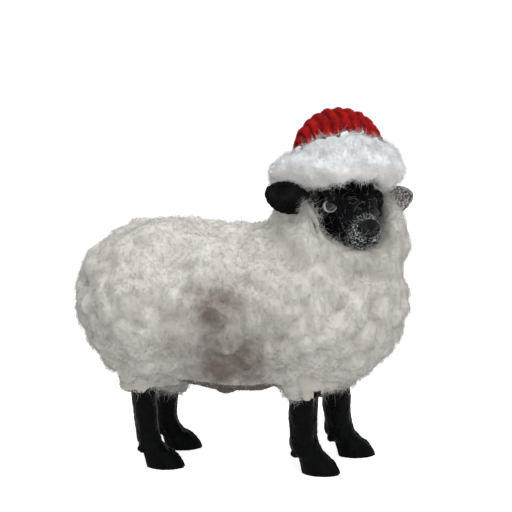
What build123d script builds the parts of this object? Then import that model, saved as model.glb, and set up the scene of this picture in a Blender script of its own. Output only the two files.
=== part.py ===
from build123d import *

import os
from math import atan2, cos, degrees, hypot, pi, radians, sin, sqrt

# A standing sheep figurine in a red winter hat, in millimetres.
# +X is the way the body faces, +Y its left side, +Z up. The origin is on the ground, under the
# middle of the body. A moulded core carries a sewn fleece. Four cast legs with cloven hooves are
# pinned into it from below, and a cast head stands on a wooden neck dowel, turned to its right.

# Wool masses of the body: a trunk turned about its own long axis, and a ball at the neck.
trunk_z = 82.5
rump_x = -41.5
rump_radius = 42.5
barrel_radius = 41.5
chest_x = 41.5
chest_radius = 43.0
neck_x = 47.0
neck_y = 4.0
neck_z = 111.5
neck_radius = 37.5

# How deep the wool stands on the core, and how deep the short pile of the belly cloth is.
pile = 9.0
belly_pile = 6.0

# Clumps of the wool: how far they stand out or sink in, and how far apart they are.
clump_rise = 2.8
clump_gap = 13.0

# Seams of the fleece.
chest_seam_x = 8.0
neck_seam_z = 106.5
belly_x = -2.0
belly_half_length = 27.0
belly_half_width = 27.0
belly_edge_z = 54.5

# Tail: a short round drop of wool, set into the rump. Its heights are from the trunk's axis.
tail_in_rump = 6.5
tail_above = 2.0
tail_below = 10.0
tail_radius = 9.0

# Legs. Each is one casting with its hoof, and the place of a leg is the middle of its sole.
front_right_x = 44.0
front_left_x = 58.75
rear_right_x = -35.0
rear_left_x = -31.75
leg_half_spread = 16.0
leg_top_drop = 10.0
ankle_z = 17.0
setback = 10.2
front_leg_length = 15.4
front_leg_width = 13.6
rear_leg_length = 12.8
rear_leg_width = 11.8
front_right_lean = 0.5
front_left_lean = 4.0
rear_right_lean = 5.0
rear_left_lean = -4.0
front_right_turn = -12.0
front_left_turn = 3.0
rear_right_turn = -5.0
rear_left_turn = 3.0
hoof_length = 19.0
hoof_width = 15.0
hoof_height = 9.0
toe_rake = 4.6
cleft_width = 1.4
dewclaw_radius = 2.2
dewclaw_spread = 3.4
dewclaw_z = 9.5
leg_top_z = trunk_z - leg_top_drop

# Steel pins from the legs into the core.
pin_radius = 1.6
pin_length = 30.0
pin_in_leg = 12.0

# Wool round the top of each leg, and how low it hangs.
cuff_radius = 13.0
front_right_cuff_z = 35.0
front_left_cuff_z = 31.0
rear_right_cuff_z = 36.5
rear_left_cuff_z = 31.0

# Head casting. It is built looking along +X from its own origin, then turned into place.
head_x = 48.5
head_z = 144.5
head_turn = -50.0
head_roll = 6.5
face_pitch = 42.0
face_length = 37.0
skull_back = 12.0
skull_half_width = 16.2
skull_half_depth = 14.8
eye_radius = 4.6
eye_forward = 15.0
eye_side = 12.6
eye_down = 9.4
eye_outward = 52.0
lid = 1.1
eye_opening_length = 7.4
eye_opening_height = 5.6
brow_forward = 14.5
brow_side = 11.4
brow_down = 3.6
brow_half_length = 5.8
brow_half_width = 5.4
brow_half_height = 3.0
cheek_forward = 8.0
cheek_side = 9.6
cheek_down = 18.5
cheek_half_length = 10.5
cheek_half_width = 5.6
cheek_half_height = 8.0
nose_forward = 27.4
nose_down = 18.0
nose_half_length = 3.0
nose_half_width = 5.2
nose_half_height = 3.5
nostril_side = 2.9
nostril_radius = 1.3
lip_forward = 26.6
lip_side = 3.5
lip_down = 23.4
lip_half_length = 4.4
lip_half_width = 4.6
lip_half_height = 3.8
jaw_forward = 21.5
jaw_down = 26.8
jaw_half_length = 7.4
jaw_half_width = 6.2
jaw_half_height = 3.4
mouth_slit = 0.8
mouth_down = 26.6
mouth_half_width = 7.0
mouth_depth = 4.0

# The ball of the skull that the wool is glued to, the bay that the wool leaves round the face, the
# head's neck stub, the core's neck that it stands on, and the dowel through both.
skull_radius = 17.0
skull_forward = 1.5
skull_down = 1.3
bay_radius = 19.6
bay_down = 11.5
bay_back = 4.0
core_neck_z = 113.5
stub_foot_radius = 14.0
stub_top_radius = 11.0
dowel_radius = 5.0
dowel_length = 54.0
dowel_in_head = 28.0

# Ears, each on a tenon in the head.
ear_length = 29.0
ear_width = 15.6
ear_thickness = 5.4
ear_wall = 1.4
ear_root_forward = 5.0
ear_root_side = 14.0
ear_root_down = 12.0
ear_rise = 15.0
ear_right_sweep = 10.0
ear_left_sweep = -4.0
ear_twist = 8.0
tenon_radius = 2.2
tenon_length = 6.0

# Topknot of wool on the head.
topknot_forward = -2.0
topknot_up = 8.0
topknot_radius = 34.5
topknot_half_height = 13.5
topknot_tilt = 10.0

# Hat. Its crown is a ball of ribs that run from front to back, sunk into the fur trim.
hat_forward = 1.0
hat_up = 14.8
hat_turn = -18.0
hat_tilt = 20.0
crown_radius = 22.4
rib_count = 13
rib_depth = 1.3
hat_wall = 1.4
crown_drop = 5.0
trim_radius = 17.0
trim_thickness = 16.4
trim_drop = 2.0

overrun = 1.0

# Shares of a claw's sole: where the outer side bows most, how wide its heel is, and the size,
# height and rake of its wall and of its coronet.
claw_bow_share = -0.1
claw_heel_share = 0.62
claw_wall_shares = (0.96, 0.45, 0.32)
claw_coronet_shares = (0.78, 1.0, 1.0)

# Shares of a leg's mean radius at the foot and at the top of its column.
column_foot_share = 0.96
column_top_share = 1.14

# Where the dewclaws stand: shares of the setback and of the leg's length, behind the sole's middle.
dewclaw_setback_share = 0.84
dewclaw_length_share = 0.33

# Shares of a nostril's radius along and across, and of the nose's half length where it opens.
nostril_length_share = 1.4
nostril_width_share = 0.8
nostril_place_share = 0.85

# How far the hollow of an ear stands forward, as a share of the ear's thickness.
ear_cup_share = 0.45

# Shares along the head from the poll to the lips, of the half width and of the half depth there.
head_section_shares = [
    (0.0, 0.38, 0.36),
    (0.10, 0.76, 0.74),
    (0.245, 0.95, 0.96),
    (0.43, 1.0, 1.0),
    (0.59, 0.93, 0.93),
    (0.715, 0.79, 0.80),
    (0.84, 0.65, 0.71),
    (0.94, 0.59, 0.62),
    (1.0, 0.45, 0.45),
]

# Shares along an ear from root to tip, of its half width and half thickness there.
ear_section_shares = [
    (0.0, 0.30, 0.75),
    (0.18, 0.52, 0.95),
    (0.42, 0.93, 1.0),
    (0.66, 1.0, 0.92),
    (0.86, 0.74, 0.66),
    (1.0, 0.22, 0.24),
]

# The foot from the fetlock down: shares of the ankle's height, of the setback still to go, and of
# the leg's own thickness along and across.
foot_section_shares = [
    (1.2, 1.0, 0.86, 0.84),
    (0.95, 0.97, 0.96, 0.94),
    (0.70, 0.84, 1.04, 1.0),
    (0.45, 0.44, 1.06, 1.02),
    (0.24, 0.16, 0.86, 0.84),
]


def ellipsoid(half_x, half_y, half_z):
    """A ball stretched to the three half sizes."""
    return scale(Sphere(1), by=(half_x, half_y, half_z))


def block(x_from, x_to, y_from, y_to, z_from, z_to):
    """A box between two corners."""
    size = Box(x_to - x_from, y_to - y_from, z_to - z_from)
    return Pos((x_from + x_to) / 2, (y_from + y_to) / 2, (z_from + z_to) / 2) * size


def arc_point(centre_x, radius, angle):
    """A point of an arc about a middle on the axis, at an angle from forwards."""
    return (centre_x + radius * cos(radians(angle)), radius * sin(radians(angle)))


def trunk(inset):
    """The trunk: a long outline of three arcs turned about the trunk's axis."""
    rump_end = rump_radius - inset
    chest_end = chest_radius - inset
    outline = [
        ThreePointArc((rump_x - rump_end, 0), arc_point(rump_x, rump_end, 135), (rump_x, rump_end)),
        ThreePointArc((rump_x, rump_end), ((rump_x + chest_x) / 2, barrel_radius - inset),
                      (chest_x, chest_end)),
        ThreePointArc((chest_x, chest_end), arc_point(chest_x, chest_end, 45),
                      (chest_x + chest_end, 0)),
        Line((chest_x + chest_end, 0), (rump_x - rump_end, 0)),
    ]
    return Pos(0, 0, trunk_z) * revolve(Plane.XZ * make_face(outline), Axis.X)


def wool_masses(inset):
    """Trunk and neck as one, smaller all round by the inset."""
    return trunk(inset) + Pos(neck_x, neck_y, neck_z) * Sphere(neck_radius - inset)


def cap_rings(radius):
    """How many rings of points, a clump apart, a quarter of a ball takes."""
    return round(radius * pi / 2 / clump_gap)


def trunk_rings():
    """Rings along the trunk from rump to chest, each as its x and its distance from the axis."""
    rump_count = cap_rings(rump_radius)
    chest_count = cap_rings(chest_radius)
    barrel_count = round((chest_x - rump_x) / clump_gap)
    rings = []
    for ring in range(1, rump_count + 1):
        rings.append(arc_point(rump_x, rump_radius, 180 - 90 * ring / rump_count))
    for ring in range(1, barrel_count):
        rings.append((rump_x + (chest_x - rump_x) * ring / barrel_count, barrel_radius))
    for ring in range(chest_count, 0, -1):
        rings.append(arc_point(chest_x, chest_radius, 90 * ring / chest_count))
    return rings


def ball_rings(radius):
    """Rings of a ball from end to end, each as its place along and its distance from the axis."""
    count = 2 * cap_rings(radius)
    return [arc_point(0, radius, 180 - 180 * ring / count) for ring in range(1, count)]


def clump_share(step):
    """How high the point of a step stands, from -1 in a dip to 1 on a clump, never in a row."""
    return cos(step**2 * pi * (3 - sqrt(5)))


def clumped_mass(rings, start, end):
    """A closed mass about the X axis: rings of points that rise and sink, joined by triangles."""
    widest = max(out for along, out in rings)
    count = round(2 * pi * widest / clump_gap)
    points = []
    for ring, (along, out) in enumerate(rings):
        row = []
        for step in range(count):
            turn = 2 * pi * (step + ring / 2) / count
            reach = out + clump_rise * clump_share(ring * count + step) * out / widest
            row.append((along, reach * sin(turn), reach * cos(turn)))
        points.append(row)
    first = [(start, 0, 0)] * count
    last = [(end, 0, 0)] * count
    faces = []
    for row, following in zip([first] + points, points + [last]):
        for step in range(count):
            after = (step + 1) % count
            if following is not last:
                faces.append(Face(Polyline(row[step], following[after], following[step], close=True)))
            if row is not first:
                faces.append(Face(Polyline(row[step], row[after], following[after], close=True)))
    return Solid(Shell(faces))


def clumped_coat():
    """Trunk and neck with the clumps of the wool."""
    body = clumped_mass(trunk_rings(), rump_x - rump_radius, chest_x + chest_radius)
    neck = clumped_mass(ball_rings(neck_radius), -neck_radius, neck_radius)
    upright = Pos(neck_x, neck_y, neck_z) * Rot(0, -90, 0) * neck
    return Pos(0, 0, trunk_z) * body + upright


def claw_section(side, share, height, shift):
    """One horizontal slice of a claw: straight along the cleft, bowed outside."""
    toe = hoof_length / 2 * share
    inner = side * cleft_width / 2
    outer = side * hoof_width / 2 * share
    heel_out = outer * claw_heel_share
    edges = [
        Line((-toe, inner), (toe, inner)),
        ThreePointArc((toe, inner), (toe * claw_bow_share, outer), (-toe, heel_out)),
        Line((-toe, heel_out), (-toe, inner)),
    ]
    return Pos(-shift, 0, height) * make_face(edges)


def claw(side):
    """One of the two toes of a hoof, raked back from the sole to the coronet."""
    sections = [claw_section(side, 1, 0, 0)]
    for size_share, height_share, rake_share in (claw_wall_shares, claw_coronet_shares):
        height = hoof_height * height_share
        sections.append(claw_section(side, size_share, height, toe_rake * rake_share))
    return loft(sections)


def column_x(lean, height):
    """How far behind the middle of the sole the leg's axis stands at a height."""
    return -setback - lean * (height - ankle_z) / (leg_top_z - ankle_z)


def leg_column(length, width, lean):
    """The leg above the ankle: a round taper that leans."""
    foot_x = column_x(lean, ankle_z)
    top_x = column_x(lean, leg_top_z)
    rise = leg_top_z - ankle_z
    radius = (length + width) / 4
    length_up = hypot(rise, top_x - foot_x)
    column = Cone(radius * column_foot_share, radius * column_top_share, length_up)
    tilt = degrees(atan2(top_x - foot_x, rise))
    return Pos((foot_x + top_x) / 2, 0, (leg_top_z + ankle_z) / 2) * Rot(0, tilt, 0) * column


def leg_casting(length, width, lean):
    """A leg over its own sole: tapered column, fetlock, pastern, cloven hoof and dewclaws."""
    sections = []
    for height_share, setback_share, length_share, width_share in foot_section_shares:
        place = Pos(-setback * setback_share, 0, ankle_z * height_share)
        sections.append(place * Ellipse(length / 2 * length_share, width / 2 * width_share))
    leg = leg_column(length, width, lean) + loft(sections)
    dewclaw_x = -setback * dewclaw_setback_share - length * dewclaw_length_share
    for side in (-1, 1):
        leg += claw(side)
        leg += Pos(dewclaw_x, side * dewclaw_spread, dewclaw_z) * Sphere(dewclaw_radius)
    return leg


legs = {
    "front_right": (front_right_x, -leg_half_spread, front_right_lean, front_right_turn),
    "front_left": (front_left_x, leg_half_spread, front_left_lean, front_left_turn),
    "rear_right": (rear_right_x, -leg_half_spread, rear_right_lean, rear_right_turn),
    "rear_left": (rear_left_x, leg_half_spread, rear_left_lean, rear_left_turn),
}
leg_sizes = {"front": (front_leg_length, front_leg_width), "rear": (rear_leg_length, rear_leg_width)}
cuff_foot_z = {
    "front_right": front_right_cuff_z,
    "front_left": front_left_cuff_z,
    "rear_right": rear_right_cuff_z,
    "rear_left": rear_left_cuff_z,
}


def leg_place(name):
    """Where the middle of a sole stands, and how the leg is turned."""
    foot_x, foot_y, lean, turn = legs[name]
    return Pos(foot_x, foot_y, 0) * Rot(0, 0, turn)


def leg_pin(name):
    """The steel pin down the top of a leg."""
    lean = legs[name][2]
    middle_z = leg_top_z - pin_in_leg + pin_length / 2
    pin = Pos(column_x(lean, leg_top_z), 0, middle_z) * Cylinder(pin_radius, pin_length)
    return leg_place(name) * pin


def leg_socket(name):
    """The round taper that a leg fills in the core and in the wool."""
    length, width = leg_sizes[name.split("_")[0]]
    return leg_place(name) * leg_column(length, width, legs[name][2])


def wool_cuff(name):
    """The wool round the top of a leg."""
    lean = legs[name][2]
    middle_z = cuff_foot_z[name] + cuff_radius
    return leg_place(name) * Pos(column_x(lean, middle_z), 0, middle_z) * Sphere(cuff_radius)


def on_head(shape):
    """Turn a shape built on the head's own axes into its place."""
    return Pos(head_x, 0, head_z) * Rot(0, 0, head_turn) * Rot(-head_roll, 0, 0) * shape


def head_form():
    """The skull and muzzle: oval sections from the poll to the lips, square to the face."""
    pitch = radians(face_pitch)
    along = (cos(pitch), 0, -sin(pitch))
    over = (sin(pitch), 0, cos(pitch))
    sections = []
    for share, width_share, depth_share in head_section_shares:
        reach = -skull_back + share * (skull_back + face_length)
        middle = (reach * along[0], 0, reach * along[2])
        section = Ellipse(skull_half_depth * depth_share, skull_half_width * width_share)
        sections.append(Plane(origin=middle, x_dir=over, z_dir=along) * section)
    return loft(sections)


def eye_ball(side):
    return Pos(eye_forward, side * eye_side, -eye_down) * Sphere(eye_radius)


def eye_opening(side):
    """The oval gap between the lids, cut outwards from the middle of the eye."""
    turn = radians(eye_outward)
    outward = (cos(turn), side * sin(turn), 0)
    middle = (eye_forward, side * eye_side, -eye_down)
    plane = Plane(origin=middle, x_dir=(0, 0, 1), z_dir=outward)
    oval = plane * Ellipse(eye_opening_height / 2, eye_opening_length / 2)
    return extrude(oval, eye_radius + 2 * lid + overrun)


def skull_ball():
    return on_head(Pos(skull_forward, 0, -skull_down) * Sphere(skull_radius))


def carved_head():
    """The head casting before its joints are cut: brow, lids, cheeks, nose, lips and jaw."""
    head = head_form() + Pos(skull_forward, 0, -skull_down) * Sphere(skull_radius)
    head += Pos(nose_forward, 0, -nose_down) * ellipsoid(
        nose_half_length, nose_half_width, nose_half_height
    )
    head += Pos(jaw_forward, 0, -jaw_down) * ellipsoid(
        jaw_half_length, jaw_half_width, jaw_half_height
    )
    for side in (-1, 1):
        head += Pos(brow_forward, side * brow_side, -brow_down) * ellipsoid(
            brow_half_length, brow_half_width, brow_half_height
        )
        head += Pos(cheek_forward, side * cheek_side, -cheek_down) * ellipsoid(
            cheek_half_length, cheek_half_width, cheek_half_height
        )
        head += Pos(lip_forward, side * lip_side, -lip_down) * ellipsoid(
            lip_half_length, lip_half_width, lip_half_height
        )
        head += Pos(eye_forward, side * eye_side, -eye_down) * Sphere(eye_radius + lid)
    nose_front = nose_forward + nose_half_length * nostril_place_share
    for side in (-1, 1):
        head -= eye_opening(side)
        head -= Pos(nose_front, side * nostril_side, -nose_down) * ellipsoid(
            nostril_radius * nostril_length_share, nostril_radius * nostril_width_share,
            nostril_radius,
        )
    mouth_front = lip_forward + lip_half_length + overrun
    head -= block(
        mouth_front - mouth_depth - overrun, mouth_front,
        -mouth_half_width, mouth_half_width,
        -mouth_down - mouth_slit / 2, -mouth_down + mouth_slit / 2,
    )
    return head


def face_bay():
    """The round bay, open to the front, that the wool leaves for the face."""
    length = skull_back + face_length
    bay = Pos(length / 2 - bay_back, 0, -bay_down) * Rot(0, 90, 0) * Cylinder(bay_radius, length)
    return on_head(bay)


def neck_stub():
    """The casting's neck, from the flat top of the core's neck up into the skull."""
    height = head_z - core_neck_z
    stub = Cone(stub_foot_radius, stub_top_radius, height)
    return Pos(head_x, 0, core_neck_z + height / 2) * stub


def neck_dowel():
    middle_z = core_neck_z + dowel_in_head - dowel_length / 2
    return Pos(head_x, 0, middle_z) * Cylinder(dowel_radius, dowel_length)


def ear_plane(side):
    """The ear's own frame: X from root to tip, Z the way that the cup faces."""
    rise = radians(ear_rise)
    sweep = radians(ear_left_sweep if side > 0 else ear_right_sweep)
    along = (-sin(sweep) * cos(rise), side * cos(sweep) * cos(rise), sin(rise))
    facing = (cos(sweep), side * sin(sweep), 0)
    root = (ear_root_forward, side * ear_root_side, -ear_root_down)
    return Plane(origin=root, x_dir=along, z_dir=facing)


def ear_leaf(inset, lift):
    """The leaf of an ear, thinner all round by the inset and moved the way that it faces."""
    sections = []
    for share, width_share, thickness_share in ear_section_shares:
        half_width = ear_width / 2 * width_share * (1 - 2 * inset / ear_width)
        half_thickness = ear_thickness / 2 * thickness_share
        middle = (inset + share * (ear_length - 2 * inset), 0, lift * thickness_share)
        plane = Plane(origin=middle, x_dir=(0, 1, 0), z_dir=(1, 0, 0))
        sections.append(plane * Ellipse(half_width, half_thickness))
    return loft(sections)


def ear_tenon():
    tenon = Cylinder(tenon_radius, tenon_length + overrun)
    return Pos((overrun - tenon_length) / 2, 0, 0) * Rot(0, 90, 0) * tenon


def ear(side):
    """A cupped ear with the tenon at its root."""
    cup = ear_leaf(ear_wall, ear_thickness * ear_cup_share)
    shape = Rot(side * ear_twist, 0, 0) * (ear_leaf(0, 0) - cup + ear_tenon())
    return on_head(ear_plane(side) * shape)


def on_poll(forward, up, turn, tilt):
    """The frame of a thing that sits on top of the head, tilted back and not rolled."""
    place = Pos(head_x, 0, head_z) * Rot(0, 0, head_turn) * Pos(forward, 0, up)
    return place * Rot(0, 0, turn) * Rot(0, -tilt, 0)


def topknot():
    """A flattened round mass with the clumps of its wool."""
    flatness = topknot_half_height / topknot_radius
    rings = [(along * flatness, out) for along, out in ball_rings(topknot_radius)]
    mass = clumped_mass(rings, -topknot_half_height, topknot_half_height)
    return on_poll(topknot_forward, topknot_up, 0, topknot_tilt) * Rot(0, -90, 0) * mass


def ribbed_ball():
    """Ribs from front to back over a ball: a scalloped half outline turned about its side axis."""
    step = 180 / rib_count
    groove_radius = crown_radius - rib_depth
    outline = []
    for rib in range(rib_count):
        start = radians(rib * step)
        middle = radians((rib + 0.5) * step)
        end = radians((rib + 1) * step)
        outline.append(
            ThreePointArc(
                (groove_radius * sin(start), -groove_radius * cos(start)),
                (crown_radius * sin(middle), -crown_radius * cos(middle)),
                (groove_radius * sin(end), -groove_radius * cos(end)),
            )
        )
    outline.append(Line((0, groove_radius), (0, -groove_radius)))
    return revolve(make_face(outline), Axis.Y)


def above_base(shape):
    """What of a ball in the hat stands above the hat's lower edge."""
    reach = crown_radius + overrun
    return shape - block(-reach, reach, -reach, reach, -reach, -crown_drop)


def hat_frame(shape):
    return on_poll(hat_forward, hat_up, hat_turn, hat_tilt) * shape


def hat_crown_form():
    return hat_frame(above_base(ribbed_ball()))


def hat_pocket():
    """The plain ball that the ribs fill, which the trim and the topknot are cut by."""
    return hat_frame(above_base(Sphere(crown_radius)))


def hat_wadding_form():
    ball = Sphere(crown_radius - rib_depth - hat_wall)
    return hat_frame(above_base(ball))


def hat_trim_form():
    return hat_frame(Pos(0, 0, -trim_drop) * Torus(trim_radius, trim_thickness / 2))


def tail_form():
    """A short drop of wool with round ends."""
    drop = Pos(0, 0, (tail_above - tail_below) / 2) * Cylinder(tail_radius, tail_above + tail_below)
    drop += Pos(0, 0, tail_above) * Sphere(tail_radius)
    drop += Pos(0, 0, -tail_below) * Sphere(tail_radius)
    return Pos(rump_x - rump_radius + tail_in_rump, 0, trunk_z) * drop


far = 2 * (rump_radius + chest_radius) + chest_x - rump_x


def fleece_pieces(coat):
    """Cut the coat along its seams into flanks, chest and neck."""
    return {
        "flank_fleece_right": coat & block(-far, chest_seam_x, -far, 0, -far, far),
        "flank_fleece_left": coat & block(-far, chest_seam_x, 0, far, -far, far),
        "chest_fleece": coat & block(chest_seam_x, far, -far, far, -far, neck_seam_z),
        "neck_fleece": coat & block(chest_seam_x, far, -far, far, neck_seam_z, far),
    }


def head_pieces():
    """The head casting with its eyes, ears and dowel, each seated in it."""
    dowel = neck_dowel()
    eyes = {side: on_head(eye_ball(side)) for side in (-1, 1)}
    ears = {side: ear(side) for side in (-1, 1)}
    head = on_head(carved_head()) + neck_stub()
    for side in (-1, 1):
        head = head - eyes[side] - ears[side]
    return {
        "head": head - dowel,
        "neck_dowel": dowel,
        "ear_right": ears[-1],
        "ear_left": ears[1],
        "eye_right": eyes[-1],
        "eye_left": eyes[1],
    }


def main_body(shape):
    """The main body of a cut piece, without what the cuts part from it."""
    return max(shape.solids(), key=lambda solid: solid.volume)


def hat_pieces(ears):
    """The topknot and the hat, seated on the ball of the skull and clear of the ears."""
    skull = skull_ball()
    crown = hat_crown_form() - hat_wadding_form() - skull
    wadding = hat_wadding_form() - skull
    trim = hat_trim_form() - hat_pocket() - skull
    hair = topknot() - hat_pocket() - hat_trim_form() - skull - face_bay()
    for leaf in ears:
        hair -= leaf
    return {
        "topknot_fleece": main_body(hair),
        "hat_trim": trim,
        "hat_crown": crown,
        "hat_wadding": wadding,
    }


def body_pieces(ears):
    """The core, its legs and pins, and the wool on it, each cut by what is set in it."""
    pins = {name: leg_pin(name) for name in legs}
    sockets = {name: leg_socket(name) for name in legs}
    core = wool_masses(pile) - block(-far, far, -far, far, core_neck_z, far)
    tail = tail_form() - core
    belly_space = block(
        belly_x - belly_half_length, belly_x + belly_half_length,
        -belly_half_width, belly_half_width,
        0, belly_edge_z,
    )
    belly = (trunk(pile - belly_pile) - core) & belly_space
    coat = clumped_coat()
    cuts = [core, belly_space, tail, neck_stub(), skull_ball(), face_bay(), topknot(),
            hat_trim_form(), *ears]
    core -= neck_dowel()
    cuffs = {}
    for name in legs:
        cuffs[name] = wool_cuff(name) - core - sockets[name]
        cuts += [wool_cuff(name), sockets[name], pins[name]]
        belly = belly - wool_cuff(name)
        core = core - pins[name] - sockets[name]
    coat -= cuts
    pieces = {"body_core": core, "belly_panel": belly, "tail_fleece": tail}
    pieces.update(fleece_pieces(coat))
    for name in legs:
        length, width = leg_sizes[name.split("_")[0]]
        leg = leg_place(name) * leg_casting(length, width, legs[name][2])
        pieces["leg_" + name] = leg - pins[name]
        pieces["leg_pin_" + name] = pins[name]
        pieces["wool_cuff_" + name] = cuffs[name]
    return pieces


def build_parts():
    """Every piece in its place."""
    parts = head_pieces()
    ears = [parts["ear_right"], parts["ear_left"]]
    parts.update(hat_pieces(ears))
    parts.update(body_pieces(ears))
    return parts


def over_origin(parts):
    """Move the whole figurine so that the middle of its ground plan is the origin."""
    boxes = [shape.bounding_box() for shape in parts.values()]
    middle_x = (min(box.min.X for box in boxes) + max(box.max.X for box in boxes)) / 2
    middle_y = (min(box.min.Y for box in boxes) + max(box.max.Y for box in boxes)) / 2
    return {name: Pos(-middle_x, -middle_y, 0) * shape for name, shape in parts.items()}


os.makedirs("parts", exist_ok=True)
for node, solid in over_origin(build_parts()).items():
    export_step(solid, "parts/" + node + ".step")
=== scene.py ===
"""The looks of a standing sheep figurine in a red winter hat.

The wool is made of lumpy closed pads with curled fibres on them. Points and sizes are in
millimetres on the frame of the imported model, and meshes are written in metres.
"""

import math
from collections import namedtuple

import bmesh
import bpy
import numpy as np
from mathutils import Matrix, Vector


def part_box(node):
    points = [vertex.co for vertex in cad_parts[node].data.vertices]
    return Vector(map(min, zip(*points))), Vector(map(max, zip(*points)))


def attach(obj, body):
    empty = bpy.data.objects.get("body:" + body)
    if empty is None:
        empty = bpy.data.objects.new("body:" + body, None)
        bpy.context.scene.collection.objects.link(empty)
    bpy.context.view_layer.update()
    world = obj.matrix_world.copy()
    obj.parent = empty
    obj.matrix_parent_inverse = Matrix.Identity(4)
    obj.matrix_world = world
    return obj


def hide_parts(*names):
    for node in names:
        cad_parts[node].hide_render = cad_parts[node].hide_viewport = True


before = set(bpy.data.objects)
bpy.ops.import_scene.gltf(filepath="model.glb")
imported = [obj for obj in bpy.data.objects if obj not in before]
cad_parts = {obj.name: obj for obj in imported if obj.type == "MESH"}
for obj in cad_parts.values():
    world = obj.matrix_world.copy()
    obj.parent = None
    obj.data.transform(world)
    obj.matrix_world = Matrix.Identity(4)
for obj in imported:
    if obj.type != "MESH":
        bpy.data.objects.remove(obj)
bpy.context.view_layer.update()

MM = 0.001
ROOT = "root"
LEGS = ("front_right", "front_left", "rear_right", "rear_left")


def box_mm(node):
    """A node's lowest and highest corners in millimetres."""
    low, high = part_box(node)
    return np.array(low) / MM, np.array(high) / MM


def middle_mm(node):
    """The middle of a node's box in millimetres."""
    low, high = box_mm(node)
    return (low + high) / 2


# Camera, from the photograph: where the picture's middle falls on the figurine, and the view.
CAMERA_AZIMUTH = 8.0
CAMERA_ELEVATION = 12.0
CAMERA_DISTANCE = 900.0
CAMERA_TARGET = (8.2, 0.0, 106.5)
PICTURE_SPAN = 256.0
SENSOR = 36.0


def place_camera():
    """A long lens at the photograph's angle, square to the point that its middle shows."""
    data = bpy.data.cameras.new("camera")
    data.sensor_width = SENSOR
    data.lens = SENSOR * CAMERA_DISTANCE / PICTURE_SPAN
    camera = bpy.data.objects.new("camera", data)
    bpy.context.collection.objects.link(camera)
    turn, rise = math.radians(CAMERA_AZIMUTH), math.radians(CAMERA_ELEVATION)
    back = Vector((
        math.sin(turn) * math.cos(rise),
        -math.cos(turn) * math.cos(rise),
        math.sin(rise),
    ))
    camera.location = Vector(CAMERA_TARGET) * MM + back * CAMERA_DISTANCE * MM
    camera.rotation_mode = "QUATERNION"
    camera.rotation_quaternion = (-back).to_track_quat("-Z", "Y")
    bpy.context.scene.camera = camera


# Node building


class Nodes:
    """Adds nodes to a material's or a group's tree in short lines."""

    def __init__(self, tree):
        self.tree = tree

    def add(self, kind, **values):
        node = self.tree.nodes.new(kind)
        for name, value in values.items():
            setattr(node, name, value)
        return node

    def link(self, source, target):
        self.tree.links.new(source, target)

    def feed(self, socket, value):
        if isinstance(value, bpy.types.NodeSocket):
            self.link(value, socket)
        elif value is not None:
            socket.default_value = value

    def math(self, operation, *values):
        node = self.add("ShaderNodeMath", operation=operation)
        for socket, value in zip(node.inputs, values):
            self.feed(socket, value)
        return node.outputs[0]

    def mix(self, share, low, high, blend="MIX"):
        node = self.add("ShaderNodeMix", data_type="RGBA", blend_type=blend)
        self.feed(node.inputs["Factor"], share)
        self.feed(node.inputs[6], low)
        self.feed(node.inputs[7], high)
        return node.outputs[2]

    def where(self):
        return self.add("ShaderNodeTexCoord").outputs["Object"]

    def noise(self, where, scale, detail=3.0, rough=0.55):
        node = self.add("ShaderNodeTexNoise")
        self.feed(node.inputs["Vector"], where)
        node.inputs["Scale"].default_value = scale
        node.inputs["Detail"].default_value = detail
        node.inputs["Roughness"].default_value = rough
        return node.outputs["Fac"]

    def spread(self, value, low, high):
        """The value between two bounds, run out to 0 and 1."""
        node = self.add("ShaderNodeMapRange", clamp=True)
        self.feed(node.inputs["Value"], value)
        node.inputs["From Min"].default_value = low
        node.inputs["From Max"].default_value = high
        return node.outputs["Result"]

    def bump(self, height, strength, distance):
        node = self.add("ShaderNodeBump")
        node.inputs["Strength"].default_value = strength
        node.inputs["Distance"].default_value = distance
        self.feed(node.inputs["Height"], height)
        return node.outputs["Normal"]

    def marks(self, layer):
        """The red, green and blue of a colour layer on the mesh."""
        given = self.add("ShaderNodeAttribute", attribute_name=layer)
        split = self.add("ShaderNodeSeparateColor")
        self.link(given.outputs["Color"], split.inputs[0])
        return split.outputs


def rgba(colour):
    """A colour written as 0 to 255 in the picture, made linear."""
    linear = []
    for value in colour:
        share = value / 255
        linear.append(share / 12.92 if share <= 0.04045 else ((share + 0.055) / 1.055) ** 2.4)
    return (*linear, 1.0)


def new_material(name, roughness, **sockets):
    """A material with one shader, its plain values set on the shader's own sockets."""
    material = bpy.data.materials.new(name)
    material.use_nodes = True
    material.node_tree.nodes.clear()
    nodes = Nodes(material.node_tree)
    shader = nodes.add("ShaderNodeBsdfPrincipled")
    shader.inputs["Roughness"].default_value = roughness
    for socket, value in sockets.items():
        shader.inputs[socket.replace("_", " ")].default_value = value
    output = nodes.add("ShaderNodeOutputMaterial")
    nodes.link(shader.outputs["BSDF"], output.inputs["Surface"])
    return material, nodes, shader


def new_group(name, inputs, outputs):
    """A shader node group with its named inputs and outputs."""
    tree = bpy.data.node_groups.new(name, "ShaderNodeTree")
    for label, kind, value in inputs:
        socket = tree.interface.new_socket(label, in_out="INPUT", socket_type=kind)
        socket.default_value = value
    for label, kind in outputs:
        tree.interface.new_socket(label, in_out="OUTPUT", socket_type=kind)
    nodes = Nodes(tree)
    return tree, nodes, nodes.add("NodeGroupInput").outputs, nodes.add("NodeGroupOutput").inputs


def place_group(nodes, tree, **values):
    """A group in a material, with the material's own values."""
    group = nodes.add("ShaderNodeGroup", node_tree=tree)
    for label, value in values.items():
        group.inputs[label.replace("_", " ")].default_value = value
    return group.outputs


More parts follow.
